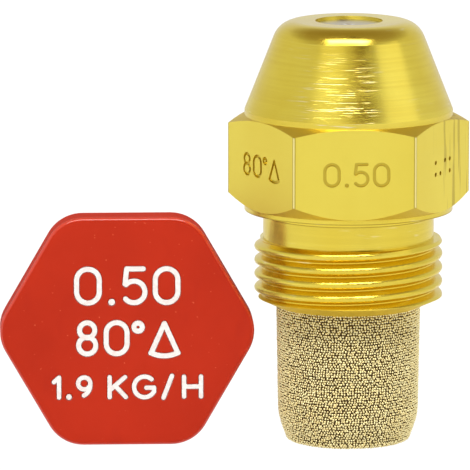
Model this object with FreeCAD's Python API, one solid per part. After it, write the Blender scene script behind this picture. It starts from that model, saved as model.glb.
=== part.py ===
import FreeCAD, Part
import math
import os
from FreeCAD import Vector

# Oil burner nozzle with its sintered filter and its taken-off storage cap.
# Millimetres. The nozzle stands on its filter: +Z runs up the nozzle's axis to the spray
# orifice, z = 0 is the filter's closed end, and the cap stands beside it on the -X side.

# Filter thimble
filter_length = 10.42         # part that shows below the body
filter_end_radius = 4.82
filter_taper_radius = 5.36
filter_taper_height = 2.0
filter_rim_seat = 0.30         # ring of the rim that bears on the body
filter_end_round = 0.35
filter_wall = 1.20
filter_floor = 1.60
filter_plug_length = 4.0      # part pushed into the body
plug_clearance = 0.03

# Body: rear chamfer, adapter thread, neck
rear_bore_radius = 5.20
rear_bore_spare = 0.30        # room above the filter's plug
rear_chamfer_height = 0.76
thread_radius = 14.2875 / 2   # 9/16 inch
thread_pitch = 25.4 / 24      # 24 turns per inch
thread_length = 4.40
thread_depth = 0.60
thread_run_out = 0.28
thread_lead = 0.77            # how far below the body's rear end the groove begins
crest_land = 0.10
crest_round = 0.28
root_flat = 0.08
neck_relief = 0.06            # how far the neck lies below the thread's root
neck_length = 2.21

# Body: hexagon and cone
hex_over_thread = 25.4 / 16   # how much wider across its flats than the thread is
collar_inset = 0.04           # collars stand this far inside the flats
lower_collar_height = 0.35
lower_chamfer_angle = 38.0
hex_height = 6.89             # between the two collars
hex_edge_round = 0.10
upper_chamfer_angle = 26.0
upper_collar_height = 0.42
cone_height = 6.73
cone_angle = 21.5             # slope of the cone's side from the axis
cone_round = 1.80

# Bores above the filter
front_hole_radius = 2.55
front_wall = 1.50             # brass left around the disc's nose
main_bore_radius = 3.60
disc_bore_step = 0.28         # how much narrower the disc's bore is
disc_bore_length = 2.60

# Orifice disc
disc_recess = 0.28            # below the body's top face
disc_clearance = 0.02
disc_flange_height = 1.70
pit_radius = 2.75
swirl_chamber_radius = 0.60
swirl_chamber_height = 0.20
orifice_radius = 0.11
orifice_dimple_radius = 0.42
orifice_dimple_depth = 0.12

# Swirl cone
cone_seat_gap = 0.05
swirl_cone_clearance = 0.12    # in the disc's bore
swirl_tip_radius = 0.90
swirl_shank_height = 2.25
slot_count = 3
slot_width = 0.35
slot_depth = 0.30
slot_offset = 0.42
feed_flat_depth = 0.32

# Retaining screw and fine strainer
screw_clearance = 0.03
screw_length = 7.0
screw_socket_across_flats = 3.0
screw_socket_depth = 2.6
screw_passage_radius = 1.10
screw_slot_width = 1.20
screw_slot_depth = 0.70
strainer_pocket_wall = 1.32    # of the screw, around the strainer
strainer_thickness = 0.50
strainer_clearance = 0.05
strainer_hole_radius = 0.14
strainer_hole_pitch = 0.62
strainer_rings = 3

# Storage cap
cap_across_flats = 17.5
cap_corner_round = 3.0
cap_thickness = 2.5
cap_edge_round = 0.30
cap_stand_off = 0.08          # from the thread's crests, seen from above
cap_face_y = -2.0
cap_skirt_radius = 7.70
cap_skirt_length = 4.5
cap_skirt_lead = 0.35
cap_skirt_wall = 1.20
cap_cup_depth = 6.0

# Marks
mark_stroke = 0.38
small_mark_stroke = 0.33
mark_depth = 0.24
mark_clearance = 0.05
mark_sink = 0.03              # below the cap's face
stamp_stroke = 0.24
stamp_depth = 0.18
dot_radius = 0.17

# Heights and radii worked out from the sizes above
filter_rim_radius = rear_bore_radius + filter_rim_seat
body_rear = filter_length
thread_start = body_rear + rear_chamfer_height
thread_end = thread_start + thread_length
root_radius = thread_radius - thread_depth
neck_radius = root_radius - neck_relief
hex_across_flats = 2 * thread_radius + hex_over_thread
shoulder = thread_end + neck_length
hex_start = shoulder + lower_collar_height
hex_end = hex_start + hex_height
cone_start = hex_end + upper_collar_height
body_top = cone_start + cone_height
collar_radius = hex_across_flats / 2 - collar_inset
disc_seat = body_top - front_wall
disc_rear = disc_seat - disc_flange_height
disc_bore_radius = main_bore_radius - disc_bore_step
swirl_cone_radius = disc_bore_radius - swirl_cone_clearance
screw_radius = main_bore_radius - screw_clearance
strainer_radius = screw_radius - strainer_pocket_wall - strainer_clearance
cone_back = disc_rear + pit_radius - swirl_cone_radius - swirl_shank_height
plug_radius = rear_bore_radius - plug_clearance
filter_bore_radius = plug_radius - filter_wall
cap_corner = cap_across_flats / math.sqrt(3) - cap_corner_round * (2 / math.sqrt(3) - 1)
cap_centre_x = -(thread_radius + cap_stand_off + cap_corner)
cap_cup_radius = cap_skirt_radius - cap_skirt_wall


def at(radius, height):
    """Point of an outline in the plane through the axis."""
    return Vector(radius, 0, height)


def line(start, end):
    return Part.LineSegment(start, end).toShape()


def path(points):
    return [line(a, b) for a, b in zip(points, points[1:])]


def turned(edges):
    """Solid made by turning a closed outline about the axis."""
    face = Part.Face(Part.Wire(edges))
    return face.revolve(Vector(0, 0, 0), Vector(0, 0, 1), 360)


def turned_outline(points):
    return turned(path(points + [points[0]]))


def hexagon(across_flats, height, base):
    """Hexagonal bar along Z with two of its flats facing -Y and +Y."""
    corner = across_flats / math.sqrt(3)
    turns = [math.radians(60 * i) for i in range(7)]
    points = [Vector(corner * math.cos(t), corner * math.sin(t), base) for t in turns]
    return Part.Face(Part.makePolygon(points)).extrude(Vector(0, 0, height))


def one_solid(shape):
    return shape if shape.ShapeType == "Solid" else shape.Solids[0]


# Strokes are drawn flat in X and Y and are raised along Z.

def dot(centre, width, height):
    return Part.makeCylinder(width / 2, height, Vector(centre[0], centre[1], 0))


def bar(start, end, width, height):
    """Straight stroke with round ends."""
    run = Vector(end[0] - start[0], end[1] - start[1], 0)
    box = Part.makeBox(run.Length, width, height, Vector(0, -width / 2, 0))
    box.rotate(Vector(0, 0, 0), Vector(0, 0, 1), math.degrees(math.atan2(run.y, run.x)))
    box.translate(Vector(start[0], start[1], 0))
    return box.fuse([dot(start, width, height), dot(end, width, height)])


def bow(centre, radius, first, last, width, height):
    """Stroke along an arc, from one angle to the other in degrees, with round ends."""
    middle = Vector(centre[0], centre[1], 0)
    up = Vector(0, 0, 1)
    ring = Part.makeCylinder(radius + width / 2, height, middle, up, last - first)
    ring = ring.cut(Part.makeCylinder(radius - width / 2, height, middle, up))
    ring.rotate(middle, up, first)
    if last - first >= 360:
        return ring
    ends = []
    for angle in (math.radians(first), math.radians(last)):
        end = (centre[0] + radius * math.cos(angle), centre[1] + radius * math.sin(angle))
        ends.append(dot(end, width, height))
    return ring.fuse(ends)


# Each sign is a list of strokes in a box one unit high: ("bar", start, end),
# ("bow", centre, radius, first angle, last angle) or ("dot", centre).

ZERO = [("bow", (0.33, 0.67), 0.33, 0, 180), ("bow", (0.33, 0.33), 0.33, 180, 360),
        ("bar", (0.0, 0.33), (0.0, 0.67)), ("bar", (0.66, 0.33), (0.66, 0.67))]
ONE = [("bar", (0.0, 0.78), (0.25, 1.0)), ("bar", (0.25, 1.0), (0.25, 0.0))]
FIVE = [("bar", (0.58, 1.0), (0.10, 1.0)), ("bar", (0.10, 1.0), (0.05, 0.56)),
        ("bow", (0.31, 0.32), 0.32, -140, 137)]
EIGHT = [("bow", (0.32, 0.76), 0.24, 0, 360), ("bow", (0.32, 0.27), 0.27, 0, 360)]
NINE = [("bow", (0.30, 0.70), 0.30, 0, 360), ("bow", (0.0, 0.62), 0.60, -62, 5)]
POINT = [("dot", (0.06, 0.02))]
DEGREE = [("bow", (0.13, 0.85), 0.13, 0, 360)]
SPRAY = [("bar", (0.42, 0.96), (0.0, 0.02)), ("bar", (0.42, 0.96), (0.84, 0.02)),
         ("bow", (0.42, 0.90), 0.98, 244, 296)]
UNIT_K = [("bar", (0.0, 0.0), (0.0, 1.0)), ("bar", (0.0, 0.34), (0.76, 1.0)),
          ("bar", (0.27, 0.57), (0.80, 0.0))]
UNIT_G = [("bow", (0.51, 0.5), 0.52, 48, 332), ("bar", (0.98, 0.26), (0.98, 0.46)),
          ("bar", (0.98, 0.46), (0.60, 0.46))]
UNIT_H = [("bar", (0.0, 0.0), (0.0, 1.0)), ("bar", (0.84, 0.0), (0.84, 1.0)),
          ("bar", (0.0, 0.5), (0.84, 0.5))]
SLASH = [("bar", (0.0, -0.05), (0.42, 1.05))]


def drawn(sign, size, left, base, width, height):
    """One sign as a solid, at the given size, place, stroke width and height."""
    def place(point):
        return (left + point[0] * size, base + point[1] * size)

    pieces = []
    for kind, *values in sign:
        if kind == "bar":
            pieces.append(bar(place(values[0]), place(values[1]), width, height))
        elif kind == "bow":
            centre, radius, first, last = values
            pieces.append(bow(place(centre), radius * size, first, last, width, height))
        else:
            pieces.append(dot(place(values[0]), width * 1.3, height))
    solid = pieces[0]
    if len(pieces) > 1:
        solid = pieces[0].fuse(pieces[1:]).removeSplitter()
    return one_solid(solid)


def row(signs, size, middle, base, width, height):
    """Signs side by side, centred about the middle; each comes with its advance."""
    total = sum(advance for sign, advance in signs) * size
    left = middle - total / 2
    solids = []
    for sign, advance in signs:
        solids.append(drawn(sign, size, left, base, width, height))
        left += advance * size
    return solids


FLOW = [(ZERO, 0.96), (POINT, 0.40), (FIVE, 0.93), (ZERO, 0.66)]
ANGLE = [(EIGHT, 0.92), (ZERO, 0.88), (DEGREE, 0.54), (SPRAY, 0.84)]
UNIT = [(ONE, 0.68), (POINT, 0.52), (NINE, 1.56), (UNIT_K, 1.22), (UNIT_G, 1.45),
        (SLASH, 1.02), (UNIT_H, 0.84)]


def thread_groove():
    """V groove between round crests, wound right-handed up the thread."""
    start = body_rear - thread_lead
    end = thread_end + 0.72
    helix = Part.makeHelix(thread_pitch, end - start, thread_radius)
    helix.translate(Vector(0, 0, start))

    def crest(lean, side):
        """Point of a crest's round, at an angle from the crest's middle, above or below."""
        away = thread_pitch / 2 - crest_round * math.sin(lean)
        return at(thread_radius - crest_round * (1 - math.cos(lean)), start + side * away)

    first = math.asin(crest_land / 2 / crest_round)
    last = math.radians(60)
    outside = thread_radius + 0.5
    half_root = root_flat / 2
    flank_run = thread_pitch / 2 - crest_round * math.sin(last) - half_root
    root = thread_radius - crest_round * (1 - math.cos(last)) - flank_run * math.tan(last)
    opening = thread_pitch / 2 - crest_land / 2
    corners = [at(root, start - half_root), crest(last, -1), crest(first, -1),
               at(outside, start - opening), at(outside, start + opening), crest(first, 1),
               crest(last, 1), at(root, start + half_root)]
    middle = (first + last) / 2
    edges = [
        line(corners[0], corners[1]),
        Part.Arc(corners[1], crest(middle, -1), corners[2]).toShape(),
        line(corners[2], corners[3]),
        line(corners[3], corners[4]),
        line(corners[4], corners[5]),
        Part.Arc(corners[5], crest(middle, 1), corners[6]).toShape(),
        line(corners[6], corners[7]),
        line(corners[7], corners[0])]
    return Part.Wire(helix.Edges).makePipeShell([Part.Wire(edges)], True, True)


def body_outline():
    """Half section of the brass body, its bores included."""
    slope = math.tan(math.radians(cone_angle))
    corner = collar_radius - cone_height * slope
    tangent = cone_round * math.tan(math.radians(90 - cone_angle) / 2)
    side = at(corner + tangent * math.sin(math.radians(cone_angle)),
              body_top - tangent * math.cos(math.radians(cone_angle)))
    flat = at(corner - tangent, body_top)
    centre = at(flat.x, body_top - cone_round)
    lean = math.radians((90 + cone_angle) / 2)
    crown = centre + at(cone_round * math.cos(lean), cone_round * math.sin(lean))
    beyond = hex_across_flats / math.sqrt(3) + 0.5
    lower = (beyond - collar_radius) * math.tan(math.radians(lower_chamfer_angle))
    upper = (beyond - collar_radius) * math.tan(math.radians(upper_chamfer_angle))
    outside = [
        at(rear_bore_radius, body_rear), at(filter_rim_radius, body_rear),
        at(thread_radius, thread_start), at(thread_radius, thread_end - thread_run_out),
        at(thread_radius - thread_run_out / 2, thread_end), at(neck_radius, thread_end),
        at(neck_radius, shoulder), at(collar_radius, shoulder), at(collar_radius, hex_start),
        at(beyond, hex_start + lower), at(beyond, hex_end - upper), at(collar_radius, hex_end),
        at(collar_radius, cone_start), side]
    rear_step = body_rear + filter_plug_length + rear_bore_spare
    disc_step = disc_seat - disc_bore_length
    inside = [
        flat, at(front_hole_radius, body_top), at(front_hole_radius, disc_seat),
        at(disc_bore_radius, disc_seat), at(disc_bore_radius, disc_step),
        at(main_bore_radius, disc_step), at(main_bore_radius, rear_step),
        at(rear_bore_radius, rear_step), at(rear_bore_radius, body_rear)]
    return path(outside) + [Part.Arc(side, crown, flat).toShape()] + path(inside)


def on_hex_face(shape, face_turn):
    """Takes a flat drawing to a hexagon face: 0 is the -Y face, then round the axis."""
    shape.rotate(Vector(0, 0, 0), Vector(1, 0, 0), 90)
    shape.translate(Vector(0, -hex_across_flats / 2 + stamp_depth, 0))
    shape.rotate(Vector(0, 0, 0), Vector(0, 0, 1), face_turn)
    return shape


def stamps():
    """Cutters for the figures and dots struck into three faces of the hexagon."""
    height = stamp_depth * 2
    middle = (hex_start + hex_end) / 2
    cutters = []
    for solid in row(FLOW, 1.62, 0.15, middle - 0.78, stamp_stroke, height):
        cutters.append(on_hex_face(solid, 0))
    for solid in row(ANGLE, 1.55, 0.1, middle - 0.72, stamp_stroke, height):
        cutters.append(on_hex_face(solid, -60))
    for column in range(4):
        for line_up in range(2):
            if (column + line_up) % 3 == 2:
                continue
            place = (-1.2 + 0.8 * column, middle - 0.45 + 0.9 * line_up)
            cutters.append(on_hex_face(dot(place, 2 * dot_radius, height), 60))
    return cutters


def hexagon_bar():
    """Drawn hexagon bar with its six edges a little rounded."""
    bar_stock = hexagon(hex_across_flats, body_top + 2, -1)
    upright = [e for e in bar_stock.Edges if abs(e.Vertexes[0].Z - e.Vertexes[1].Z) > 1]
    return bar_stock.makeFillet(hex_edge_round, upright)


def nozzle_body():
    blank = one_solid(turned(body_outline()))
    shaped = one_solid(blank.common(hexagon_bar()))
    shaped = one_solid(shaped.cut(thread_groove()))
    return one_solid(shaped.cut(stamps()))


def orifice_disc():
    """Hard steel disc: its nose fills the front hole and its flange seats behind it."""
    nose = front_hole_radius - disc_clearance
    flange = disc_bore_radius - disc_clearance
    top = body_top - disc_recess
    chamber = disc_rear + pit_radius - swirl_chamber_radius
    roof = chamber + swirl_chamber_height
    return turned_outline([
        at(orifice_radius, roof), at(orifice_radius, top - orifice_dimple_depth),
        at(orifice_dimple_radius, top), at(nose, top), at(nose, disc_seat),
        at(flange, disc_seat), at(flange, disc_rear), at(pit_radius, disc_rear),
        at(swirl_chamber_radius, chamber), at(swirl_chamber_radius, roof)])


def swirl_cone():
    """Cone that closes the disc's pit; oil reaches the swirl chamber by its slots only."""
    drop = cone_seat_gap * math.sqrt(2)
    base = disc_rear + pit_radius - drop
    tip = base - swirl_tip_radius
    rim = base - swirl_cone_radius
    solid = turned_outline([
        at(0, cone_back), at(swirl_cone_radius, cone_back), at(swirl_cone_radius, rim),
        at(swirl_tip_radius, tip), at(0, tip)])
    cutters = []
    reach = swirl_cone_radius * 2
    for i in range(slot_count):
        slot = Part.makeBox(reach, slot_width, slot_depth * 2, Vector(0, -slot_width / 2, -slot_depth))
        slot.rotate(Vector(0, 0, 0), Vector(0, 1, 0), 45)
        slot.translate(Vector(0, slot_offset, base))
        flat = Part.makeBox(1, swirl_cone_radius * 2, rim - cone_back + 1,
                            Vector(swirl_cone_radius - feed_flat_depth, -swirl_cone_radius, cone_back - 1))
        for cutter in (slot, flat):
            cutter.rotate(Vector(0, 0, 0), Vector(0, 0, 1), 360 / slot_count * i)
            cutters.append(cutter)
    return one_solid(solid.cut(cutters))


def retaining_screw():
    """Brass screw that holds the swirl cone up against the disc; oil passes through it."""
    pocket = strainer_radius + strainer_clearance
    rear = cone_back - screw_length
    edge = 0.25
    step = cone_back - screw_slot_depth
    solid = turned_outline([
        at(screw_passage_radius, rear), at(screw_radius - edge, rear), at(screw_radius, rear + edge),
        at(screw_radius, cone_back), at(pocket, cone_back), at(pocket, step),
        at(screw_passage_radius, step)])
    cutters = [hexagon(screw_socket_across_flats, screw_socket_depth + 1, rear - 1)]
    for turn in (0, 90):
        slot = Part.makeBox(4 * screw_radius, screw_slot_width, screw_slot_depth,
                            Vector(-2 * screw_radius, -screw_slot_width / 2, step))
        slot.rotate(Vector(0, 0, 0), Vector(0, 0, 1), turn)
        cutters.append(slot)
    return one_solid(solid.cut(cutters))


def fine_strainer():
    """Thin perforated disc lying in the screw's pocket, under the swirl cone."""
    base = cone_back - screw_slot_depth
    disc = Part.makeCylinder(strainer_radius, strainer_thickness, Vector(0, 0, base))
    holes = []
    for ring in range(strainer_rings + 1):
        count = max(1, 6 * ring)
        for i in range(count):
            angle = 2 * math.pi * i / count
            centre = Vector(ring * strainer_hole_pitch * math.cos(angle),
                            ring * strainer_hole_pitch * math.sin(angle), base - 1)
            holes.append(Part.makeCylinder(strainer_hole_radius, strainer_thickness + 2, centre))
    return one_solid(disc.cut(holes))


def filter_element():
    """Sintered bronze thimble: closed end down, open rim pushed into the body."""
    turn = filter_end_round * (1 - math.sqrt(0.5))
    top = body_rear + filter_plug_length
    low = at(filter_end_radius - filter_end_round, 0)
    high = at(filter_end_radius, filter_end_round)
    middle = at(filter_end_radius - turn, turn)
    floor_radius = filter_end_radius - filter_wall
    edges = [line(at(0, 0), low), Part.Arc(low, middle, high).toShape()]
    edges += path([
        high, at(filter_taper_radius, filter_taper_height), at(filter_rim_radius, body_rear),
        at(plug_radius, body_rear), at(plug_radius, top), at(filter_bore_radius, top),
        at(filter_bore_radius, body_rear), at(floor_radius, filter_floor),
        at(0, filter_floor), at(0, 0)])
    return one_solid(turned(edges))


def on_cap(shape):
    """Takes a flat drawing to the cap: X across, Y up from the standing edge, Z out of the face."""
    shape.rotate(Vector(0, 0, 0), Vector(1, 0, 0), 90)
    shape.translate(Vector(cap_centre_x, cap_face_y, 0))
    return shape


# Mark rows on the cap: signs, size, height of the row's base above the standing edge, stroke
CAP_ROWS = {
    "cap_flow_mark": (FLOW, 2.60, 10.98, mark_stroke),
    "cap_angle_mark": (ANGLE, 2.40, 7.06, mark_stroke),
    "cap_unit_mark": (UNIT, 1.53, 3.72, small_mark_stroke),
}


def cap_marks(name, spare, low, height):
    """One row of the cap's marks, wider by some spare, from a level behind the face upward."""
    signs, size, base, stroke = CAP_ROWS[name]
    solids = row(signs, size, 0.0, base, stroke + spare, height)
    for solid in solids:
        solid.translate(Vector(0, 0, low))
        on_cap(solid)
    return solids


def cap_plate():
    """Hexagonal plate with round corners, standing on one of its flats."""
    half = cap_across_flats / 2
    plate = hexagon(cap_across_flats, cap_thickness, 0)
    upright = [e for e in plate.Edges if abs(e.Vertexes[0].Z - e.Vertexes[1].Z) > 1]
    plate = plate.makeFillet(cap_corner_round, upright)
    front = [e for e in plate.Edges if e.BoundBox.ZMin > cap_thickness - 0.001]
    plate = plate.makeFillet(cap_edge_round, front)
    plate.translate(Vector(0, half, -cap_thickness))
    return one_solid(on_cap(plate))


def cap_shell():
    """Red moulded cap: hexagonal plate in front, short hollow skirt behind."""
    centre = Vector(cap_centre_x, 0, cap_across_flats / 2)
    back = cap_face_y + cap_thickness
    rear = Vector(centre.x, back, centre.z)
    along = Vector(0, 1, 0)
    skirt = Part.makeCylinder(cap_skirt_radius, cap_skirt_length - cap_skirt_lead, rear, along)
    lead = Part.makeCone(cap_skirt_radius, cap_skirt_radius - cap_skirt_lead, cap_skirt_lead,
                         rear + along * (cap_skirt_length - cap_skirt_lead), along)
    mouth = rear + along * (cap_skirt_length - cap_cup_depth)
    cup = Part.makeCylinder(cap_cup_radius, cap_cup_depth + 1, mouth, along)
    shell = one_solid(cap_plate().fuse([skirt, lead]).removeSplitter())
    shell = one_solid(shell.cut(cup))
    pocket = mark_depth + mark_sink
    pockets = []
    for name in CAP_ROWS:
        pockets += cap_marks(name, 2 * mark_clearance, -pocket, pocket + 1)
    return one_solid(shell.cut(pockets))


def save(name, shape):
    good = shape.isValid()
    solids = len(shape.Solids)
    print(name, "valid" if good else "NOT VALID", solids, "solid(s)", round(shape.Volume, 2), "mm3")
    shape.exportStep("parts/" + name + ".step")


os.makedirs("parts", exist_ok=True)
save("nozzle_body", nozzle_body())
save("orifice_disc", orifice_disc())
save("swirl_cone", swirl_cone())
save("retaining_screw", retaining_screw())
save("fine_strainer", fine_strainer())
save("filter_element", filter_element())
save("cap_shell", cap_shell())
for mark in CAP_ROWS:
    level = -(mark_depth + mark_sink)
    save(mark, Part.makeCompound(cap_marks(mark, 0, level, mark_depth)))
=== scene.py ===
import bpy
import bmesh
import math
import random
from mathutils import Matrix, Vector


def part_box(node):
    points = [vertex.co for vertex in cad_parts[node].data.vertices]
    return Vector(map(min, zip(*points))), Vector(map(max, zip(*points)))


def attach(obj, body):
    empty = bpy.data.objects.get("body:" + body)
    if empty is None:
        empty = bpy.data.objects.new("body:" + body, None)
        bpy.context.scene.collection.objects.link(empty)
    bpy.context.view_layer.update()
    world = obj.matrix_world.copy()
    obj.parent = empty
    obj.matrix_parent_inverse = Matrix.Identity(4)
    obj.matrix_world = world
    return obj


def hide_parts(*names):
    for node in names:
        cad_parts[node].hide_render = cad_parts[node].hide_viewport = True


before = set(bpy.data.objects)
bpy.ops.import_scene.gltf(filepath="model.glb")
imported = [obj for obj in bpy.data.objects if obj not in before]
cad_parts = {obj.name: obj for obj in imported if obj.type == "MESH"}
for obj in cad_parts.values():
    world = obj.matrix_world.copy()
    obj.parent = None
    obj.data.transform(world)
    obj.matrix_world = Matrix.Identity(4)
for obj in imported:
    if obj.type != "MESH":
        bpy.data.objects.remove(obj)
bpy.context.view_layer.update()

MM = 0.001

# ---------------------------------------------------------------------------
# The view: the nozzle stands on its filter's closed end, the cap beside it.
# A long lens looks at the pair almost square on, from slightly above.
view_turn = math.radians(-2.4)
view_lift = math.radians(9.7)
view_width = 35.68 * MM
lens_distance = 520 * MM
left_of_axis = 8.62 * MM
height_of_view = 15.79 * MM

lens = bpy.data.cameras.new("long_lens")
lens.sensor_width = 36.0
lens.lens = lens.sensor_width * lens_distance / view_width
lens.clip_start = 0.01
lens.clip_end = 20.0
camera = bpy.data.objects.new("camera", lens)
bpy.context.scene.collection.objects.link(camera)
towards_camera = Vector((math.sin(view_turn) * math.cos(view_lift),
                         -math.cos(view_turn) * math.cos(view_lift),
                         math.sin(view_lift)))
camera.location = Vector((-left_of_axis, 0, height_of_view)) + towards_camera * lens_distance
camera.rotation_euler = (-towards_camera).to_track_quat("-Z", "Y").to_euler()
bpy.context.scene.camera = camera
bpy.context.scene.view_settings.view_transform = "Standard"


# ---------------------------------------------------------------------------
# The table: a white board that the nozzle and its cap stand on. It glows a little, so that
# undersides are lit, and it is thin to the camera, so that it hides little of what is below.
board_half_width = 1.5
board_glow = 0.44
paper_brightness = 0.68
paper_thinness = 0.92


def mesh_piece(shape, name):
    """Turns a bmesh into an object that sits at the origin."""
    mesh = bpy.data.meshes.new(name)
    shape.to_mesh(mesh)
    shape.free()
    piece = bpy.data.objects.new(name, mesh)
    bpy.context.scene.collection.objects.link(piece)
    return piece


def new_material(name):
    """An empty node material, its node tree and its Principled shader."""
    material = bpy.data.materials.new(name)
    material.use_nodes = True
    return material, material.node_tree, material.node_tree.nodes["Principled BSDF"]


def maths(tree, operation, first, second=None, clamp=False):
    """One Math node; each operand is a socket or a number."""
    node = tree.nodes.new("ShaderNodeMath")
    node.operation = operation
    node.use_clamp = clamp
    for socket, operand in zip(node.inputs, (first, second)):
        if isinstance(operand, (int, float)):
            socket.default_value = operand
        elif operand is not None:
            tree.links.new(operand, socket)
    return node.outputs[0]


def blend_of(tree, factor, first, second):
    """A shader that is the first at a factor of 0 and the second at 1."""
    node = tree.nodes.new("ShaderNodeMixShader")
    tree.links.new(factor, node.inputs["Fac"])
    tree.links.new(first.outputs[0], node.inputs[1])
    tree.links.new(second.outputs[0], node.inputs[2])
    return node


def paper_to_the_eye(tree, shader):
    """Lets the camera see the board as evenly lit thin paper, and see nothing of it from
    below; all other light meets the solid board."""
    glow = tree.nodes.new("ShaderNodeEmission")
    glow.inputs["Strength"].default_value = paper_brightness
    lit_paper = tree.nodes.new("ShaderNodeAddShader")
    tree.links.new(shader.outputs[0], lit_paper.inputs[0])
    tree.links.new(glow.outputs[0], lit_paper.inputs[1])
    side = tree.nodes.new("ShaderNodeNewGeometry")
    see_through = maths(tree, "MAXIMUM", side.outputs["Backfacing"], paper_thinness)
    thin_paper = blend_of(tree, see_through, lit_paper, tree.nodes.new("ShaderNodeBsdfTransparent"))
    path = tree.nodes.new("ShaderNodeLightPath")
    seen = blend_of(tree, path.outputs["Is Camera Ray"], shader, thin_paper)
    tree.links.new(seen.outputs[0], tree.nodes["Material Output"].inputs["Surface"])


board = bmesh.new()
bmesh.ops.create_grid(board, x_segments=1, y_segments=1, size=board_half_width)
table_board = mesh_piece(board, "table_board")
board_white, tree, shader = new_material("board_white")
shader.inputs["Base Color"].default_value = (0.46, 0.46, 0.455, 1)
shader.inputs["Roughness"].default_value = 0.7
shader.inputs["Emission Color"].default_value = (1, 1, 0.99, 1)
shader.inputs["Emission Strength"].default_value = board_glow
paper_to_the_eye(tree, shader)
table_board.data.materials.append(board_white)


# ---------------------------------------------------------------------------
# The studio light: a white tent all round, darker straight above and in one narrow gap
# in front, with a small soft lamp overhead and a wide one from each side.
tent_strength = 0.84
backdrop_strength = 1.05
lamp_aim = Vector((0, 0, 20 * MM))
shades_upward = ((0.00, (0.95, 0.95, 0.95)), (0.50, (0.92, 0.92, 0.90)), (0.66, (0.62, 0.58, 0.50)),
                 (0.80, (0.46, 0.37, 0.26)), (0.97, (0.40, 0.31, 0.20)))
gap_left = -0.6     # radians about the axis, from straight in front
gap_right = 1.2
shades_across = ((0.12, (1, 1, 1)), (0.22, (0.78, 0.75, 0.66)), (0.36, (0.66, 0.60, 0.48)),
                 (0.43, (0.30, 0.22, 0.10)), (0.56, (0.20, 0.15, 0.06)), (0.74, (1, 1, 1)))


def spread(tree, value, low, high, to_low=0.0, to_high=1.0):
    """Stretches the part of a value between low and high to a new range."""
    node = tree.nodes.new("ShaderNodeMapRange")
    node.inputs["From Min"].default_value = low
    node.inputs["From Max"].default_value = high
    node.inputs["To Min"].default_value = to_low
    node.inputs["To Max"].default_value = to_high
    tree.links.new(value, node.inputs["Value"])
    return node.outputs[0]


def shaded_along(tree, value, shades):
    """A colour for each value from 0 to 1, blended between the given (place, colour) pairs."""
    node = tree.nodes.new("ShaderNodeValToRGB")
    tree.links.new(value, node.inputs["Fac"])
    stops = node.color_ramp.elements
    for stop, (place, shade) in ((stops[0], shades[0]), (stops[1], shades[-1])):
        stop.position = place
        stop.color = (*shade, 1)
    for place, shade in shades[1:-1]:
        stops.new(place).color = (*shade, 1)
    return node.outputs["Color"]


def split_place(tree, where):
    """The three parts of a place or direction."""
    parts = tree.nodes.new("ShaderNodeSeparateXYZ")
    tree.links.new(where, parts.inputs[0])
    return parts.outputs


def light_tent(tree):
    """The tent as it lights the object; the camera sees a plain white backdrop instead."""
    x, y, z = split_place(tree, tree.nodes.new("ShaderNodeTexCoord").outputs["Generated"])
    about_axis = maths(tree, "ARCTAN2", x, maths(tree, "MULTIPLY", y, -1))
    shade = tree.nodes.new("ShaderNodeMix")
    shade.data_type = "RGBA"
    shade.blend_type = "MULTIPLY"
    shade.inputs["Factor"].default_value = 1.0
    tree.links.new(shaded_along(tree, z, shades_upward), shade.inputs["A"])
    across = shaded_along(tree, spread(tree, about_axis, gap_left, gap_right), shades_across)
    tree.links.new(across, shade.inputs["B"])
    lit = tree.nodes["Background"]
    lit.inputs["Strength"].default_value = tent_strength
    tree.links.new(shade.outputs["Result"], lit.inputs["Color"])
    backdrop = tree.nodes.new("ShaderNodeBackground")
    backdrop.inputs["Color"].default_value = (1, 1, 1, 1)
    backdrop.inputs["Strength"].default_value = backdrop_strength
    path = tree.nodes.new("ShaderNodeLightPath")
    seen = blend_of(tree, path.outputs["Is Camera Ray"], lit, backdrop)
    tree.links.new(seen.outputs[0], tree.nodes["World Output"].inputs["Surface"])


tent = bpy.data.worlds.new("white_tent")
tent.use_nodes = True
bpy.context.scene.world = tent
light_tent(tent.node_tree)


def soft_lamp(name, place, width, depth, power):
    """An oblong soft lamp that points at the middle of the nozzle."""
    lamp_data = bpy.data.lights.new(name, "AREA")
    lamp_data.shape = "RECTANGLE"
    lamp_data.size = width
    lamp_data.size_y = depth
    lamp_data.energy = power
    lamp = bpy.data.objects.new(name, lamp_data)
    bpy.context.scene.collection.objects.link(lamp)
    lamp.location = place
    lamp.rotation_euler = (Vector(place) - lamp_aim).to_track_quat("Z", "Y").to_euler()


soft_lamp("lamp_above", (-0.02, -0.205, 0.35), 0.36, 0.12, 1.20)
soft_lamp("lamp_left", (-0.26, -0.48, 0.32), 0.40, 0.40, 0.10)
soft_lamp("lamp_right", (0.45, -0.22, 0.20), 0.35, 0.35, 0.14)


# ---------------------------------------------------------------------------
# nozzle_body: turned from drawn hexagon bar. Free-cutting brass, burnished on the cone and
# left as drawn on the flats; the thread is cut last. Its valleys get painted shade, a deeper
# amber for light bouncing twice in them, and the chamfers, stamps, corners and the place under
# the collar get painted shade and painted highlights too.
body_low, body_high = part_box("nozzle_body")
rear_chamfer_high = body_low.z + 0.80 * MM
thread_high = body_low.z + 5.16 * MM
thread_root = 6.90 * MM
thread_crest = 7.12 * MM
shoulder_edge = body_low.z + 7.37 * MM
collar_radius = 7.80 * MM
collar_shade = 0.30 * MM            # how far it reaches below the shoulder's edge
shade_margin = 0.07 * MM
undercut_low = shoulder_edge - 0.45 * MM
undercut_radius = 6.60 * MM
hexagon_low = body_low.z + 7.72 * MM
hexagon_high = body_high.z - 7.15 * MM
hexagon_middle = (hexagon_low + hexagon_high) / 2
half_flats = 15.875 / 2 * MM
stamp_sink = 0.03 * MM              # what lies deeper than this is cut into a flat
half_stamp_height = 1.05 * MM
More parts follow.
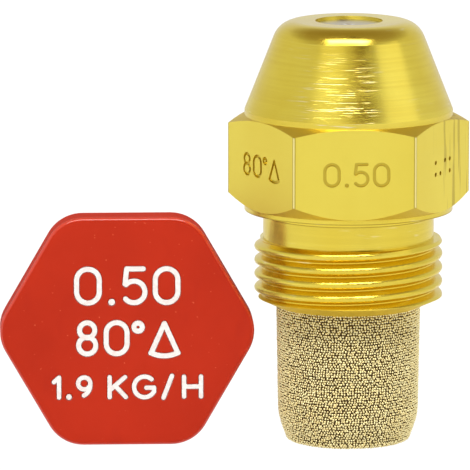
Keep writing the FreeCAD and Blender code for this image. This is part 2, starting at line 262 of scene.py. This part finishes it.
# corner_low to corner_high: a painted dark line beside the hexagon's corners; beyond it, a painted
# highlight on them
corner_low = 9.085 * MM
corner_high = 9.125 * MM
scoring_start = 5.8 * MM            # to the right of the axis
scoring_full = 7.2 * MM
handled_left = (-4.6 * MM, -3.2 * MM)
handled_right = (1.2 * MM, 2.2 * MM)
handled_top = (hexagon_high + 6.2 * MM, hexagon_high + 3.2 * MM)
crown_low = body_high.z - 0.8 * MM
crown_burnish = 3.5 * MM            # height over which the cone gets smoother
half_hexagon_turn = math.radians(30)


def mixed(tree, factor, first, second):
    """Mixes two colours by a factor; each operand is a socket or a colour."""
    node = tree.nodes.new("ShaderNodeMix")
    node.data_type = "RGBA"
    for label, operand in (("Factor", factor), ("A", first), ("B", second)):
        socket = node.inputs[label]
        if isinstance(operand, tuple):
            socket.default_value = (*operand, 1)
        else:
            tree.links.new(operand, socket)
    return node.outputs["Result"]


def tinted(tree, colour, mask, share, tint):
    """Lays a share of a tint over a colour where the mask is."""
    return mixed(tree, maths(tree, "MULTIPLY", mask, share), colour, tint)


def noise(tree, vector, scale, stretch=(1, 1, 1), detail=2.0, shift=(0, 0, 0)):
    """Noise on the given coordinates, squeezed along some of them."""
    squeeze = tree.nodes.new("ShaderNodeMapping")
    squeeze.inputs["Scale"].default_value = stretch
    squeeze.inputs["Location"].default_value = shift
    tree.links.new(vector, squeeze.inputs["Vector"])
    pattern = tree.nodes.new("ShaderNodeTexNoise")
    pattern.inputs["Scale"].default_value = scale
    pattern.inputs["Detail"].default_value = detail
    tree.links.new(squeeze.outputs[0], pattern.inputs["Vector"])
    return pattern.outputs["Fac"]


def relief(tree, shader, height, strength, depth):
    """Fine relief in the light on a surface; the shape itself stays."""
    bump = tree.nodes.new("ShaderNodeBump")
    bump.inputs["Strength"].default_value = strength
    bump.inputs["Distance"].default_value = depth
    tree.links.new(height, bump.inputs["Height"])
    tree.links.new(bump.outputs[0], shader.inputs["Normal"])


def object_place(tree):
    return tree.nodes.new("ShaderNodeTexCoord").outputs["Object"]


def from_axis(tree, where):
    """Distance from the nozzle's axis."""
    x, y, z = split_place(tree, where)
    return maths(tree, "SQRT", maths(tree, "ADD", maths(tree, "MULTIPLY", x, x),
                                     maths(tree, "MULTIPLY", y, y)))


def make_turning_marks():
    """Fine rings left by the lathe: they change fast along the axis and slowly around it."""
    group = bpy.data.node_groups.new("turning_marks", "ShaderNodeTree")
    group.interface.new_socket("Vector", in_out="INPUT", socket_type="NodeSocketVector")
    for label in ("Rings", "Scratches", "Patches"):
        group.interface.new_socket(label, in_out="OUTPUT", socket_type="NodeSocketFloat")
    where = group.nodes.new("NodeGroupInput").outputs["Vector"]
    out = group.nodes.new("NodeGroupOutput")
    fine = noise(group, where, 1500, (0.06, 0.06, 4.0), 3)
    coarse = noise(group, where, 500, (0.10, 0.10, 3.0), 2, (0.3, 0.1, 0.2))
    rings = maths(group, "ADD", maths(group, "MULTIPLY", fine, 0.6), maths(group, "MULTIPLY", coarse, 0.4))
    streak = noise(group, where, 420, (0.9, 0.9, 11.0), 2, (0.7, 0.2, 0.5))
    worn = spread(group, noise(group, where, 260, (1, 1, 1), 1, (0.1, 0.8, 0.3)), 0.50, 0.62)
    scratches = maths(group, "MULTIPLY", spread(group, streak, 0.62, 0.70), worn)
    patches = noise(group, where, 170, (1, 1, 0.6), 4, (0.4, 0.6, 0.9))
    group.links.new(rings, out.inputs["Rings"])
    group.links.new(scratches, out.inputs["Scratches"])
    group.links.new(spread(group, patches, 0.35, 0.68), out.inputs["Patches"])
    return group


turning_marks = make_turning_marks()


def turned_surface(tree, where):
    """The lathe's rings, scratches and patches at a place."""
    node = tree.nodes.new("ShaderNodeGroup")
    node.node_tree = turning_marks
    tree.links.new(where, node.inputs["Vector"])
    return node.outputs["Rings"], node.outputs["Scratches"], node.outputs["Patches"]


def below(tree, value, limit):
    return maths(tree, "LESS_THAN", value, limit)


def above(tree, value, limit):
    return maths(tree, "GREATER_THAN", value, limit)


def both_of(tree, first, second):
    return maths(tree, "MULTIPLY", first, second)


def between(tree, value, low, high):
    return both_of(tree, above(tree, value, low), below(tree, value, high))


def from_flats(tree, where):
    """How far a place lies from the hexagon's middle, measured square to the nearest flat."""
    x, y, z = split_place(tree, where)
    across = maths(tree, "MULTIPLY", x, math.cos(half_hexagon_turn))
    along = maths(tree, "MULTIPLY", y, math.sin(half_hexagon_turn))
    one = maths(tree, "ABSOLUTE", maths(tree, "ADD", across, along))
    other = maths(tree, "ABSOLUTE", maths(tree, "SUBTRACT", across, along))
    return maths(tree, "MAXIMUM", maths(tree, "ABSOLUTE", y), maths(tree, "MAXIMUM", one, other))


def finish_and_painted_light_places(tree, where):
    """Masks of the places that get their own colour: the flats and turned faces as finished, the rest for
    painted shade and painted highlights.
    """
    z = split_place(tree, where)["Z"]
    radius = from_axis(tree, where)
    on_flats = between(tree, z, hexagon_low, hexagon_high)
    # painted shade: the thread's valleys are tinted deeper amber for light bouncing between the flanks
    valley_shade = both_of(tree, below(tree, z, thread_high),
                     spread(tree, radius, thread_root, thread_crest, 1, 0))
    # painted shade under the shoulder's edge, on the collar's face and at the top of the undercut
    near_shoulder = between(tree, z, shoulder_edge - collar_shade, shoulder_edge + shade_margin)
    collar_face = both_of(tree, near_shoulder, above(tree, radius, collar_radius))
    undercut = both_of(tree, between(tree, z, undercut_low, undercut_low + shade_margin),
                       below(tree, radius, undercut_radius))
    cut_in = both_of(tree, on_flats, below(tree, from_flats(tree, where), half_flats - stamp_sink))
    stamp_rows = between(tree, z, hexagon_middle - half_stamp_height, hexagon_middle + half_stamp_height)
    return {"on_flats": on_flats,
            "turned": maths(tree, "SUBTRACT", 1, on_flats),
            "valley_shade": valley_shade,
            "shade_under_collar": maths(tree, "ADD", collar_face, undercut),
            # painted shade in the stamped strokes
            "stamp_shade": both_of(tree, cut_in, stamp_rows),
            # painted shade on the hexagon's chamfers
            "chamfer": both_of(tree, cut_in, maths(tree, "SUBTRACT", 1, stamp_rows)),
            # painted shade beside the hexagon's corners and a painted highlight on them
            "shade_beside_corner": both_of(tree, on_flats, between(tree, radius, corner_low, corner_high)),
            "corner_highlight": both_of(tree, on_flats, above(tree, radius, corner_high))}


def scoring(tree, where, on_flats):
    """Fine upright scoring on the right-hand flats."""
    x = split_place(tree, where)["X"]
    lines = spread(tree, noise(tree, where, 2100, (1, 1, 0.06), 2, (0.9, 0.3, 0.2)), 0.55, 0.63)
    return both_of(tree, both_of(tree, on_flats, spread(tree, x, scoring_start, scoring_full)), lines)


def handling_nicks(tree, where):
    """Short bright nicks on the front of the cone, more of them towards the hexagon."""
    x, y, z = split_place(tree, where)
    in_front = both_of(tree, spread(tree, x, *handled_left), spread(tree, x, *handled_right, 1, 0))
    low_down = both_of(tree, below(tree, y, 0), spread(tree, z, *handled_top))
    handled = both_of(tree, both_of(tree, in_front, low_down), above(tree, z, hexagon_high))
    nicks = spread(tree, noise(tree, where, 900, (0.36, 0.36, 15.0), 3, (0.2, 0.9, 0.4)), 0.61, 0.67)
    return both_of(tree, nicks, handled)


def make_body_brass():
    material, tree, shader = new_material("body_brass")
    where = object_place(tree)
    z = split_place(tree, where)["Z"]
    rings, scratches, patches = turned_surface(tree, where)
    places = finish_and_painted_light_places(tree, where)
    on_flats = places["on_flats"]
    turned = places["turned"]
    scored = scoring(tree, where, on_flats)
    nicks = both_of(tree, handling_nicks(tree, where), turned)
    scratches = maths(tree, "ADD", maths(tree, "MULTIPLY", scratches, 0.5), nicks, clamp=True)

    colour = mixed(tree, patches, (0.80, 0.625, 0.075), (0.875, 0.725, 0.115))
    groove = both_of(tree, spread(tree, rings, 0.58, 0.40), turned)
    for mask, share, tint in ((groove, 0.25, (0.66, 0.47, 0.045)),
                              (on_flats, 0.6, (0.94, 0.80, 0.13)),
                              # painted shade in the thread's valleys
                              (places["valley_shade"], 0.65, (0.80, 0.57, 0.04)),
                              # painted shade under the collar
                              (places["shade_under_collar"], 0.6, (0.34, 0.21, 0.02)),
                              # painted shade on the hexagon's chamfers
                              (places["chamfer"], 0.6, (0.60, 0.40, 0.035)),
                              # painted shade in the stamped strokes
                              (places["stamp_shade"], 0.45, (0.45, 0.29, 0.02)),
                              # painted shade beside the hexagon's corners
                              (places["shade_beside_corner"], 0.6, (0.36, 0.25, 0.03)),
                              (scored, 0.45, (0.34, 0.22, 0.03))):
        colour = tinted(tree, colour, mask, share, tint)
    bright = both_of(tree, scratches, maths(tree, "MULTIPLY", turned, 0.85))
    # painted highlight along the hexagon's corners, added to the bright scratches
    bright = maths(tree, "ADD", bright, maths(tree, "MULTIPLY", places["corner_highlight"], 0.5), clamp=True)
    tree.links.new(mixed(tree, bright, colour, (0.98, 0.93, 0.60)), shader.inputs["Base Color"])
    shader.inputs["Metallic"].default_value = 1.0

    pits = noise(tree, where, 5200)
    rough = maths(tree, "ADD", 0.13, maths(tree, "MULTIPLY", rings, 0.16))
    rough = maths(tree, "ADD", rough, maths(tree, "MULTIPLY", on_flats, 0.22))
    rough = maths(tree, "ADD", rough, maths(tree, "MULTIPLY", pits, 0.05))
    burnished = spread(tree, z, crown_low - crown_burnish, crown_low, 0, 0.04)
    rough = maths(tree, "SUBTRACT", rough, burnished)
    rough_rear = spread(tree, z, rear_chamfer_high, rear_chamfer_high - 0.05 * MM, 0, 0.3)
    tree.links.new(maths(tree, "ADD", rough, rough_rear), shader.inputs["Roughness"])

    drawn = noise(tree, where, 900, (1, 1, 0.18), 3, (0.2, 0.2, 0.1))
    height = both_of(tree, rings, turned)
    height = maths(tree, "ADD", height, both_of(tree, scratches, maths(tree, "MULTIPLY", turned, -0.4)))
    height = maths(tree, "SUBTRACT", height, scored)
    flat_grain = maths(tree, "ADD", maths(tree, "MULTIPLY", pits, 0.5), maths(tree, "MULTIPLY", drawn, 0.7))
    height = maths(tree, "ADD", height, both_of(tree, flat_grain, on_flats))
    relief(tree, shader, height, 0.45, 0.02 * MM)
    return material


def finish_node(name, material):
    """Gives a CAD node its real finish."""
    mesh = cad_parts[name].data
    mesh.materials.clear()
    mesh.materials.append(material)


finish_node("nozzle_body", make_body_brass())


# ---------------------------------------------------------------------------
# retaining_screw: small turned brass screw inside the body, redder and duller than it.
def make_turned_metal(name, light, dark, rough_low, rough_high, lapped=None):
    """Lathe-turned metal without wear; it may be lapped bright close to the axis."""
    material, tree, shader = new_material(name)
    where = object_place(tree)
    rings, scratches, patches = turned_surface(tree, where)
    colour = mixed(tree, patches, dark, light)
    if lapped:
        near_axis = spread(tree, from_axis(tree, where), 0.5 * MM, 0.3 * MM)
        colour = mixed(tree, near_axis, colour, lapped)
    tree.links.new(colour, shader.inputs["Base Color"])
    shader.inputs["Metallic"].default_value = 1.0
    tree.links.new(spread(tree, rings, 0.3, 0.7, rough_low, rough_high), shader.inputs["Roughness"])
    around = noise(tree, where, 2600, (1, 1, 0.1))
    relief(tree, shader, maths(tree, "ADD", rings, maths(tree, "MULTIPLY", around, 0.4)), 0.25, 0.015 * MM)
    return material


finish_node("retaining_screw", make_turned_metal(
    "screw_brass", (0.80, 0.58, 0.16), (0.68, 0.46, 0.10), 0.24, 0.40))


# ---------------------------------------------------------------------------
# orifice_disc, swirl_cone and fine_strainer: hard stainless steel, ground and lapped.
hard_steel = make_turned_metal("hard_steel", (0.70, 0.66, 0.54), (0.56, 0.52, 0.42), 0.28, 0.45,
                               (1.0, 0.99, 0.95))
for steel_node in ("orifice_disc", "swirl_cone", "fine_strainer"):
    finish_node(steel_node, hard_steel)


# ---------------------------------------------------------------------------
# filter_element: bronze balls about a fifth of a millimetre across, poured into a mould
# and sintered until they fuse. The balls are modelled one by one over a core painted dark
# for the shade between them.
filter_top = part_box("filter_element")[1].z
end_radius = 4.82 * MM
end_round = 0.45 * MM
shoulder_radius = 5.36 * MM
shoulder_height = 2.0 * MM
swell_height = shoulder_height * 1.3    # where the side's gentle swell ends
rim_radius = 5.50 * MM
rim_height = 10.42 * MM
plug_radius = 5.17 * MM
bore_radius = 3.97 * MM
bore_end_radius = bore_radius * 0.93
bore_floor = 1.60 * MM
curve_steps = 5
core_steps = 96

# The balls: sizes and places are shares of one ball's size
ball = 0.215 * MM
row_spacing = 0.90
loose = 0.20                            # how far a ball may lie off its place in the row
smallest = 0.82
largest = 1.04
deepest = 0.16
thinnest = 0.90
widest = 1.08
balls_per_piece = 2600
core_inset = ball * 0.55
core_floor = ball * 0.6


def outline_length(points):
    return sum((b - a).length for a, b in zip(points, points[1:]))


def along_outline(points, distance):
    """The point at a distance along an outline of (radius, height) points, and its direction."""
    for a, b in zip(points, points[1:]):
        step = (b - a).length
        if distance <= step:
            return a.lerp(b, distance / step), (b - a).normalized()
        distance -= step
    return points[-1], (points[-1] - points[-2]).normalized()


def filter_outline():
    """Outside of the thimble from the middle of its closed end to the mouth's inner edge."""
    points = [Vector((0, 0)), Vector((end_radius - end_round, 0))]
    for i in range(1, curve_steps + 1):
        angle = math.radians(90 * i / curve_steps)
        points.append(Vector((end_radius - end_round + end_round * math.sin(angle),
                              end_round * (1 - math.cos(angle)))))
    for i in range(1, curve_steps + 1):
        share = i / curve_steps
        swell = math.sin(share * math.pi / 2)
        points.append(Vector((end_radius + (shoulder_radius - end_radius) * swell,
                              end_round + (swell_height - end_round) * share)))
    points.append(Vector((rim_radius, rim_height)))
    points.append(Vector((plug_radius, rim_height)))
    points.append(Vector((plug_radius, filter_top)))
    points.append(Vector((bore_radius, filter_top)))
    return points


def make_balls(chance):
    """Places of the balls: rows along the outline, jittered so that no row shows."""
    outline = filter_outline()
    row_step = ball * row_spacing
    rows = int(outline_length(outline) / row_step)
    places = []
    for row in range(rows + 1):
        point, direction = along_outline(outline, row * row_step)
        outward = Vector((direction.y, -direction.x))
        count = max(1, int(2 * math.pi * point.x / ball))
        start = chance.uniform(0, 2 * math.pi)
        for i in range(count):
            turn = start + 2 * math.pi * (i + chance.uniform(-loose, loose)) / count
            size = ball * chance.uniform(smallest, largest)
            slide = ball * chance.uniform(-loose, loose)
            sunk = size / 2 + ball * chance.uniform(0.0, deepest)
            spot = point + direction * slide - outward * sunk
            if spot.x < 0.02 * MM and row > 0:
                continue
            around = Matrix.Rotation(turn, 4, "Z")
            places.append((around @ Vector((spot.x, 0, spot.y)),
                           around @ Vector((outward.x, 0, outward.y)), size))
    return places


def make_single_ball():
    """One ball, with how far each corner faces outward kept as an attribute."""
    single = bmesh.new()
    bmesh.ops.create_uvsphere(single, u_segments=8, v_segments=5, radius=0.5)
    outward_side = single.verts.layers.float.new("outward_side")
    for corner in single.verts:
        corner[outward_side] = corner.co.z + 0.5
    for face in single.faces:
        face.smooth = True
    mesh = bpy.data.meshes.new("grain")
    single.to_mesh(mesh)
    single.free()
    return mesh


def make_grains():
    """The one ball is set down at every place, a little squashed by its neighbours."""
    chance = random.Random(11)
    places = make_balls(chance)
    grain = make_single_ball()
    pieces = []
    for first in range(0, len(places), balls_per_piece):
        heap = bmesh.new()
        heap.verts.layers.float.new("outward_side")
        for place, outward, size in places[first:first + balls_per_piece]:
            lean = Vector((0, 0, 1)).rotation_difference(outward).to_matrix().to_4x4()
            squash = Matrix.Diagonal((chance.uniform(thinnest, widest),
                                      chance.uniform(thinnest, widest), 1, 1))
            put = Matrix.Translation(place) @ lean @ squash @ Matrix.Scale(size, 4)
            grain.transform(put)
            heap.from_mesh(grain)
            grain.transform(put.inverted())
        pieces.append(mesh_piece(heap, "filter_grains_%d" % (len(pieces) + 1)))
    return pieces


def make_core():
    """The sintered wall behind the outer balls, with the hollow inside."""
    outline = [point - Vector((core_inset if point.x > ball else 0, 0)) for point in filter_outline()[:-1]]
    top = filter_top - core_inset
    outline = [Vector((p.x, min(max(p.y, core_floor), top))) for p in outline]
    outline += [Vector((bore_radius, top)), Vector((bore_end_radius, bore_floor)), Vector((0, bore_floor))]
    core = bmesh.new()
    corners = [core.verts.new((p.x, 0, p.y)) for p in outline]
    edges = [core.edges.new(pair) for pair in zip(corners, corners[1:])]
    bmesh.ops.spin(core, geom=corners + edges, cent=(0, 0, 0), axis=(0, 0, 1),
                   angle=2 * math.pi, steps=core_steps, use_merge=True)
    bmesh.ops.remove_doubles(core, verts=core.verts, dist=0.001 * MM)
    bmesh.ops.recalc_face_normals(core, faces=core.faces)
    return mesh_piece(core, "filter_core")


def make_sinter(name, light, dark, rough, gap_shade=None):
    """Sintered bronze; the balls get painted shade, browner where they sink between others."""
    material, tree, shader = new_material(name)
    where = object_place(tree)
    each = noise(tree, where, 3800, (1, 1, 1), 1)
    wide = noise(tree, where, 300, (1, 1, 1), 3, (0.5, 0.5, 0.5))
    tone = maths(tree, "ADD", maths(tree, "MULTIPLY", spread(tree, each, 0.3, 0.7), 0.75),
                 maths(tree, "MULTIPLY", spread(tree, wide, 0.35, 0.65), 0.25))
    colour = mixed(tree, tone, dark, light)
    if gap_shade:
        side = tree.nodes.new("ShaderNodeAttribute")
        side.attribute_name = "outward_side"
        # painted shade on the inward side of each ball
        colour = mixed(tree, spread(tree, side.outputs["Fac"], 0.46, 0.82), gap_shade, colour)
    tree.links.new(colour, shader.inputs["Base Color"])
    shader.inputs["Metallic"].default_value = 0.70
    tree.links.new(spread(tree, each, 0.3, 0.7, rough, rough + 0.2), shader.inputs["Roughness"])
    relief(tree, shader, noise(tree, where, 9000), 0.3, 0.02 * MM)
    return material


# the grains' browner inward sides are painted shade
grain_bronze = make_sinter("grain_bronze", (1.0, 0.93, 0.55), (1.0, 0.84, 0.40), 0.20,
                           (0.27, 0.145, 0.016))
# painted shade: the core is coloured nearly black to show as the shade in the gaps between balls
shaded_core_bronze = make_sinter("shaded_core_bronze", (0.14, 0.08, 0.02), (0.05, 0.028, 0.007), 0.6)
filter_core = make_core()
filter_core.data.materials.append(shaded_core_bronze)
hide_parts("filter_element")
for filter_piece in [filter_core] + make_grains():
    if not filter_piece.data.materials:
        filter_piece.data.materials.append(grain_bronze)
    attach(filter_piece, "filter")


# ---------------------------------------------------------------------------
# cap_shell: red cap injection moulded in one piece, satin with a glossier face edge that gets a painted
# highlight.
cap_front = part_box("cap_shell")[0].y
rim_start = cap_front + 0.03 * MM
rim_end = cap_front + 0.24 * MM
side_start = cap_front + 0.30 * MM
share_in_mirrors = 0.25


def fade_in_mirrors(tree, shader):
    """Reflections in the polished brass show only a share of this piece."""
    path = tree.nodes.new("ShaderNodeLightPath")
    hidden = maths(tree, "MULTIPLY", path.outputs["Is Glossy Ray"], 1 - share_in_mirrors)
    seen = blend_of(tree, hidden, shader, tree.nodes.new("ShaderNodeBsdfTransparent"))
    tree.links.new(seen.outputs[0], tree.nodes["Material Output"].inputs["Surface"])


def make_cap_red():
    material, tree, shader = new_material("cap_red")
    where = object_place(tree)
    y = split_place(tree, where)["Y"]
    cloud = noise(tree, where, 140, (1, 1, 1), 4)
    fine = noise(tree, where, 4200, (1, 1, 1), 3)
    specks = spread(tree, noise(tree, where, 3600, (1, 1, 1), 1, (0.4, 0.2, 0.7)), 0.76, 0.79)
    rub = spread(tree, noise(tree, where, 420, (1, 1, 0.35), 3, (0.6, 0.1, 0.3)), 0.60, 0.72)
    rim = between(tree, y, rim_start, rim_end)
    colour = mixed(tree, spread(tree, cloud, 0.3, 0.7), (0.46, 0.018, 0.001), (0.54, 0.024, 0.003))
    # the rim's paler red is a painted highlight
    for mask, share, tint in ((rim, 0.5, (0.75, 0.07, 0.04)), (rub, 0.25, (0.40, 0.012, 0.002)),
                              (specks, 0.5, (0.80, 0.16, 0.08))):
        colour = tinted(tree, colour, mask, share, tint)
    tree.links.new(colour, shader.inputs["Base Color"])
    rough = spread(tree, fine, 0.3, 0.7, 0.34, 0.46)
    rough = maths(tree, "SUBTRACT", rough, maths(tree, "MULTIPLY", rim, 0.26))
    rough = maths(tree, "ADD", rough, maths(tree, "MULTIPLY", above(tree, y, side_start), 0.40))
    tree.links.new(rough, shader.inputs["Roughness"])
    tree.links.new(maths(tree, "ADD", 0.20, maths(tree, "MULTIPLY", rim, 0.4)),
                   shader.inputs["Specular IOR Level"])
    relief(tree, shader, fine, 0.15, 0.01 * MM)
    fade_in_mirrors(tree, shader)
    return material


finish_node("cap_shell", make_cap_red())


# ---------------------------------------------------------------------------
# The marks: white ink wiped into the sunk strokes of the cap's face.
def make_mark_white():
    material, tree, shader = new_material("mark_white")
    patch = noise(tree, object_place(tree), 2600, (1, 1, 1), 3)
    colour = mixed(tree, spread(tree, patch, 0.35, 0.6), (0.90, 0.80, 0.78), (0.96, 0.94, 0.93))
    tree.links.new(colour, shader.inputs["Base Color"])
    tree.links.new(spread(tree, patch, 0.3, 0.7, 0.5, 0.7), shader.inputs["Roughness"])
    return material


mark_white = make_mark_white()
for mark_node in ("cap_flow_mark", "cap_angle_mark", "cap_unit_mark"):
    finish_node(mark_node, mark_white)
